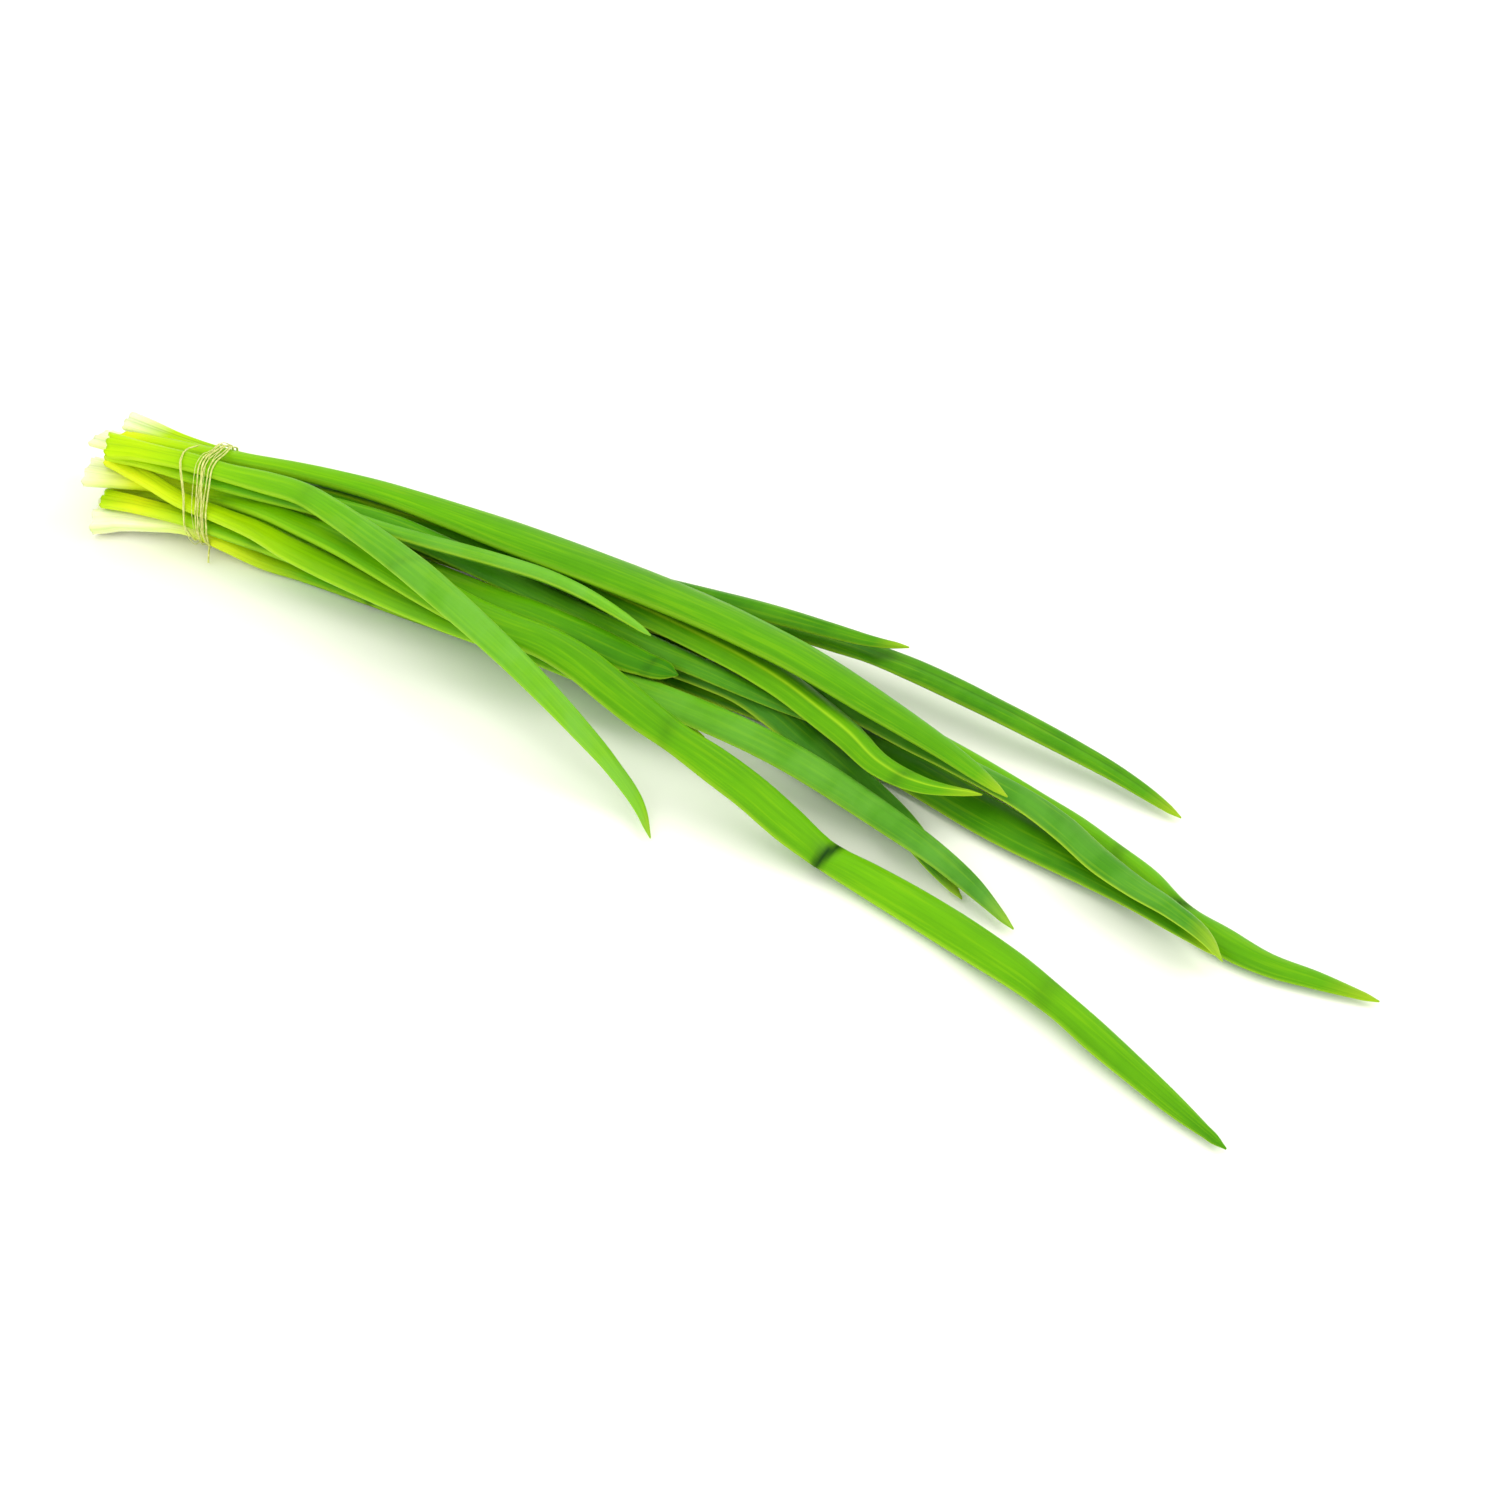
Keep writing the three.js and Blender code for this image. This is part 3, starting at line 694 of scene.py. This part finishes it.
def fibre_mesh(index, start, end, stand_off):
    count = len(thread_route)
    path = thread_route[int(start * count):int(end * count)].copy()
    share = np.linspace(0, 1, len(path))
    out = path[:, 1:] - BUNCH_MIDDLE
    out /= np.linalg.norm(out, axis=1)[:, None]
    bow = np.sin(math.pi * share) ** 1.5 * stand_off * MM
    path[:, 1:] += out * (bow + FIBRE_CLEARANCE)[:, None]
    path[:, 0] += np.sin(2.3 * math.pi * share + index) * FIBRE_SWAY
    return tube(f"fine_tie_fibre_{index}", path, FIBRE_RADIUS * (1.05 - 0.5 * share))


fibre_pieces = [add_object(f"fine_tie_fibre_{i}", fibre_mesh(i, *fibre)) for i, fibre in enumerate(FIBRES)]
print("loose fibres:", len(fibre_pieces))


# %% [markdown]
# ## Colour values
# Colours are read from the photograph as ordinary screen values. The shaders work in linear light, so
# one function turns each hex value into linear numbers. Another adds a node with its settings, its
# values or links, and the stops of a colour ramp, so that a material reads as a list of what it holds.

# %% Colour helper and node helper
def linear(hex_code):
    values = [int(hex_code[i:i + 2], 16) / 255 for i in (1, 3, 5)]
    return tuple(v / 12.92 if v <= 0.04045 else ((v + 0.055) / 1.055) ** 2.4 for v in values) + (1.0,)


def add_node(tree, kind, settings=None, inputs=None, stops=None):
    node = tree.nodes.new("ShaderNode" + kind)
    for key, value in (settings or {}).items():
        setattr(node, key, value)
    for key, value in (inputs or {}).items():
        if isinstance(value, bpy.types.NodeSocket):
            tree.links.new(value, node.inputs[key])
        else:
            node.inputs[key].default_value = value
    for i, (place, colour) in enumerate(stops or []):
        elements = node.color_ramp.elements
        element = elements[i] if i < len(elements) else elements.new(place)
        element.position, element.color = place, linear(colour)
    return node


def empty_material(name):
    material = bpy.data.materials.new(name)
    material.use_nodes = True
    material.node_tree.nodes.clear()
    return material, material.node_tree


print("sample leaf green in linear light:", [round(v, 3) for v in linear("#6CB805")])


# %% [markdown]
# ## Fresh leaf skin
# The leaf is pale and glassy where it was shaded in the soil, acid yellow-green near the tie, then full
# green, with a thin waxy bloom that turns it greyer towards the tip. Lengthwise veins run its whole
# length between broader streaks some 2 mm wide. The photograph is too coarse to count the veins. They
# are drawn 0.42 mm apart, two pixels of the render and as fine as it can show, so the real ones may be
# finer. Noise stretched along the leaf makes both, because veins wander and fade. The two edges are thin
# and let the light through; that light is painted on as a pale colour along them. Painted shade darkens
# the creases, and some fold lines carry a painted highlight and others painted shade. The skin is satin:
# fairly smooth wax over a softly glowing wall, so a little light travels inside it. IOR 1.42 is usual for
# water-filled tissue, and the reflection is set well below the usual level, to match how dull the bloom
# looks.

# %% Leaf material
VEINS = (0.42 * MM, 0.016, 2.0)
STREAKS = (2.2 * MM, 0.05, 1.0)
MOTTLE_SCALE = 90.0
LEAF_IOR = 1.42
LEAF_SPECULAR = 0.12
GLOW_WEIGHT = 0.20
GLOW_COLOUR = (0.7, 1.0, 0.1)
GLOW_REACH = 1.5 * MM


def leaf_material(name, length, stops, bloom, shade, wax_tint):
    material, tree = empty_material(name)
    grain = add_node(tree, "UVMap", {"uv_map": "grain"}).outputs["UV"]
    painted_light_and_shade = add_node(tree, "Attribute", {"attribute_name": "painted_light_and_shade"}).outputs["Color"]
    # Painted shade from creases, painted light along the edges, and painted highlight and shade along fold
    # lines.
    crease_shade, edge_light, painted_fold_line = add_node(tree, "SeparateColor", {}, {"Color": painted_light_and_shade}).outputs[:3]
    around, down = add_node(tree, "SeparateXYZ", {}, {"Vector": grain}).outputs[:2]
    along = add_node(tree, "Math", {"operation": "DIVIDE"}, {0: down, 1: length}).outputs[0]
    noises = []
    for spacing, stretch, detail in (VEINS, STREAKS):
        slow = add_node(tree, "Math", {"operation": "MULTIPLY"}, {0: down, 1: stretch}).outputs[0]
        place = add_node(tree, "CombineXYZ", {}, {"X": around, "Y": slow}).outputs[0]
        noises.append(add_node(tree, "TexNoise", {}, {"Vector": place, "Scale": 1 / spacing,
                                                      "Detail": detail, "Roughness": 0.55}).outputs["Fac"])
    veins, streaks = noises
    mottle = add_node(tree, "TexNoise", {}, {"Vector": grain, "Scale": MOTTLE_SCALE,
                                             "Detail": 4.0}).outputs["Fac"]
    ranges = [
        (along, 0.10, 0.75, 0.0, bloom),
        (mottle, 0.35, 0.65, 0.35, 1.0),
        (streaks, 0.42, 0.70, 0.0, 0.6 * shade),
        (veins, 0.50, 0.64, 0.0, 0.20),
        (veins, 0.48, 0.36, 0.0, 0.12),
        # Painted highlight and painted shade along the fold line.
        (painted_fold_line, 0.5, 1.0, 0.0, 0.85),
        (painted_fold_line, 0.5, 0.0, 0.0, 0.9),
        (mottle, 0.3, 0.7, 0.34, 0.46),
    ]
    eased = {"interpolation_type": "SMOOTHSTEP"}
    bloomed, patchy, streaked, dark_vein, pale_vein, painted_fold_highlight, painted_fold_shade, roughness = [
        add_node(tree, "MapRange", eased, dict(enumerate(values))).outputs[0] for values in ranges]
    wax = add_node(tree, "Math", {"operation": "MULTIPLY"}, {0: bloomed, 1: patchy}).outputs[0]
    body = add_node(tree, "ValToRGB", {}, {"Fac": along}, stops).outputs["Color"]
    layers = [
        ("MULTIPLY", streaked, "#6FA828"),
        ("MULTIPLY", dark_vein, "#8CB43C"),
        ("MIX", pale_vein, "#B8E008"),
        ("MIX", wax, wax_tint),
        # Painted light along the thin edges.
        ("MIX", edge_light, "#C4E43A"),
        # Painted highlight along a lit fold line.
        ("MIX", painted_fold_highlight, "#BEE42A"),
        # Painted shade along a dark fold line.
        ("MULTIPLY", painted_fold_shade, "#3E6B1E"),
        # Painted shade in the creases.
        ("MULTIPLY", crease_shade, "#28580E"),
    ]
    for blend, factor, colour in layers:
        body = add_node(tree, "Mix", {"data_type": "RGBA", "blend_type": blend},
                        {0: factor, 6: body, 7: linear(colour)}).outputs[2]
    height = add_node(tree, "Math", {"operation": "ADD"}, {0: veins, 1: mottle}).outputs[0]
    bump = add_node(tree, "Bump", {}, {"Strength": 0.30, "Distance": 0.15 * MM, "Height": height})
    skin = add_node(tree, "BsdfPrincipled", {}, {
        "Base Color": body, "Roughness": roughness, "IOR": LEAF_IOR, "Specular IOR Level": LEAF_SPECULAR,
        "Normal": bump.outputs[0], "Subsurface Weight": GLOW_WEIGHT, "Subsurface Radius": GLOW_COLOUR,
        "Subsurface Scale": GLOW_REACH})
    add_node(tree, "OutputMaterial", {}, {"Surface": skin.outputs[0]})
    return material


print("veins per centimetre:", round(10 * MM / VEINS[0]))


# %% [markdown]
# ## The colours of each leaf
# Leaves differ with age and light, so each has its own row of tints from cut end to tip, then how strong
# its waxy bloom is and how dark its streaks are. The two far leaves lie in a groove between others, and
# the deeper greens in their rows are partly their own colour and partly painted shade. The first tints
# belong to the part before the tie, so their places follow from where the tie lies on that leaf.

# %% Leaf tints
LEAF_TINTS = {
    "white": "#FCFDDC",
    "lemon": "#E0EC1C",
    "acid": "#B4DA02",
    "lime": "#82C002",
    "bright": "#66AE02",
    "green": "#539A02",
    "mid": "#3A8402",
    "deep": "#2C7603",
    "tip": "#9CB822",
}
LEAF_COLOURS = {
    "leaf_back_long": ("lemon acid lime bright green green green tip", 0.20, 0.35),
    # Partly painted shade: the far leaves' deeper greens also stand for the shade of the groove they lie
    # in.
    "leaf_far_short": ("white lemon lime bright mid deep mid tip", 0.30, 0.45),
    "leaf_far_long": ("white acid lime bright mid deep mid tip", 0.35, 0.45),
    "leaf_right_kinked": ("lemon acid bright green mid bright green tip", 0.30, 0.4),
    "leaf_right_upper": ("acid acid bright green mid mid mid tip", 0.35, 0.4),
    "leaf_right_broad": ("white lime bright mid deep deep mid tip", 0.25, 0.45),
    "leaf_hooked": ("acid acid bright mid deep green green tip", 0.25, 0.3),
    "leaf_under_dark": ("acid acid lime green mid deep mid tip", 0.25, 0.45),
    "leaf_front_mid": ("lemon lemon acid lime bright green deep tip", 0.45, 0.4),
    "leaf_front_long": ("white lemon lime bright green bright green mid", 0.20, 0.35),
    "leaf_top_forked": ("acid acid lime bright green bright lime tip", 0.60, 0.25),
    "leaf_blunt": ("lemon acid lime bright bright green mid deep", 0.10, 0.3),
    "leaf_mid_bluish": ("acid acid bright green mid green mid tip", 0.20, 0.4),
    "leaf_near_low": ("acid lemon lime bright green green mid tip", 0.15, 0.4),
    "leaf_near_sheath": ("white white lemon bright green green mid mid", 0.10, 0.3),
}
WAX_TINTS = {"leaf_green": "#70B414", "leaf_bright": "#78B808", "leaf_bluish": "#74B446"}
SLOTS = {part["node"]: part["material_slot"] for part in frame["record"]["subparts"]}


def stops_for(tints, tie_part):
    places = [0.0, tie_part * 0.5, tie_part * 1.3, min(tie_part * 2.6, 0.42), 0.5, 0.72, 0.965, 0.995]
    return list(zip(places, [LEAF_TINTS[tint] for tint in tints.split()]))


for name, piece in leaf_pieces.items():
    tints, bloom, shade = LEAF_COLOURS[name]
    length = float(routes[name][-1, 0] - routes[name][0, 0])
    stops = stops_for(tints, float((TIE_X - routes[name][0, 0]) / length))
    finish = leaf_material("fresh_" + name, length, stops, bloom, shade, WAX_TINTS[SLOTS[name]])
    piece.data.materials.append(finish)
branch_piece.data.materials.append(leaf_pieces[FORKED].data.materials[0])
print("leaf finishes:", len(LEAF_COLOURS))


# %% [markdown]
# ## Dry plant fibre
# The tie is a dry, straw-coloured fibre, mostly cellulose, whose IOR is about 1.53. It is matt, slightly
# shiny along its strands, and its colour wanders between pale straw and light green-gold over a
# millimetre or two, which a fine noise gives.

# %% Thread material
FIBRE_IOR = 1.53
FIBRE_ROUGHNESS = 0.6
FIBRE_STREAK_SCALE = 700.0


def thread_material():
    material, tree = empty_material("dry_straw_fibre")
    grain = add_node(tree, "UVMap", {"uv_map": "grain"}).outputs["UV"]
    streak = add_node(tree, "TexNoise", {}, {"Vector": grain, "Scale": FIBRE_STREAK_SCALE,
                                             "Detail": 3.0}).outputs["Fac"]
    colour = add_node(tree, "ValToRGB", {}, {"Fac": streak}, [(0.35, "#B4BC46"), (0.62, "#E8E898")])
    bump = add_node(tree, "Bump", {}, {"Strength": 0.5, "Distance": 0.05 * MM, "Height": streak})
    fibre = add_node(tree, "BsdfPrincipled", {}, {
        "Base Color": colour.outputs["Color"], "Roughness": FIBRE_ROUGHNESS, "IOR": FIBRE_IOR,
        "Normal": bump.outputs[0]})
    add_node(tree, "OutputMaterial", {}, {"Surface": fibre.outputs[0]})
    return material


fibre_finish = thread_material()
for piece in [thread_piece] + fibre_pieces:
    piece.data.materials.append(fibre_finish)
print("thread finish:", fibre_finish.name)


# %% [markdown]
# ## A white table
# The photograph stands on a plain white surface. One large matt sheet is enough, a fifth of a millimetre
# below the bunch so that the two surfaces never share a plane. It is stage, not part of the object.

# %% Floor
FLOOR_HALF = 4.0
FLOOR_DROP = 0.2 * MM
FLOOR_COLOUR = "#FBFBFA"
FLOOR_ROUGHNESS = 0.9

floor_finish, floor_tree = empty_material("white_card")
card = add_node(floor_tree, "BsdfPrincipled", {}, {"Base Color": linear(FLOOR_COLOUR),
                                                   "Roughness": FLOOR_ROUGHNESS})
add_node(floor_tree, "OutputMaterial", {}, {"Surface": card.outputs[0]})
floor_mesh = bpy.data.meshes.new("white_table")
corners = [(-FLOOR_HALF, -FLOOR_HALF, 0), (FLOOR_HALF, -FLOOR_HALF, 0),
           (FLOOR_HALF, FLOOR_HALF, 0), (-FLOOR_HALF, FLOOR_HALF, 0)]
floor_mesh.from_pydata(corners, [], [(0, 1, 2, 3)])
floor_mesh.materials.append(floor_finish)
floor = add_object("white_table", floor_mesh)
floor.location.z = -FLOOR_DROP
print("floor is", 2 * FLOOR_HALF, "m wide")


# %% [markdown]
# ## Soft light
# The photograph is bright and almost shadowless, with the strongest light from behind on the right. Big
# area lights and a bright pale room give the same soft-edged shadows to the lower left of each leaf. The
# light is a trace warm, which keeps the greens from turning blue. The standard view keeps the photo's
# clean whites and full greens.

# %% Lights
PALE_LIGHT = "#FFFFF2"
ROOM_STRENGTH = 0.98
LIGHTS = [
    ("window_behind", (0.85, 0.65, 1.05), 0.8, 7.5),
    ("overhead_fill", (-0.1, -0.1, 1.5), 1.4, 4.0),
    ("front_fill", (-0.4, -1.2, 0.9), 1.2, 5.3),
]

for name, place, size, power in LIGHTS:
    data = bpy.data.lights.new(name, "AREA")
    data.shape = "SQUARE"
    data.size = size
    data.energy = power
    data.color = linear(PALE_LIGHT)[:3]
    light = bpy.data.objects.new(name, data)
    light.location = place
    flat = math.hypot(place[0], place[1])
    light.rotation_euler = (math.atan2(flat, place[2]), 0.0, math.atan2(place[0], -place[1]))
    bpy.context.scene.collection.objects.link(light)

world = bpy.data.worlds.new("pale_room")
world.use_nodes = True
world.node_tree.nodes["Background"].inputs["Color"].default_value = linear(PALE_LIGHT)
world.node_tree.nodes["Background"].inputs["Strength"].default_value = ROOM_STRENGTH
bpy.context.scene.world = world
bpy.context.scene.view_settings.view_transform = "Standard"
print("lights:", [name for name, *_ in LIGHTS])


# %% [markdown]
# ## Tying it to the frame
# Each fine piece stands in for its plain solid and rides on the one body.

# %% Ride and replace
for name, piece in leaf_pieces.items():
    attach(piece, "root")
    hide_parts(name)
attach(branch_piece, "root")
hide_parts(FORKED)
for piece in [thread_piece] + fibre_pieces:
    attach(piece, "root")
    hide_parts("tie_thread")

bpy.context.view_layer.update()
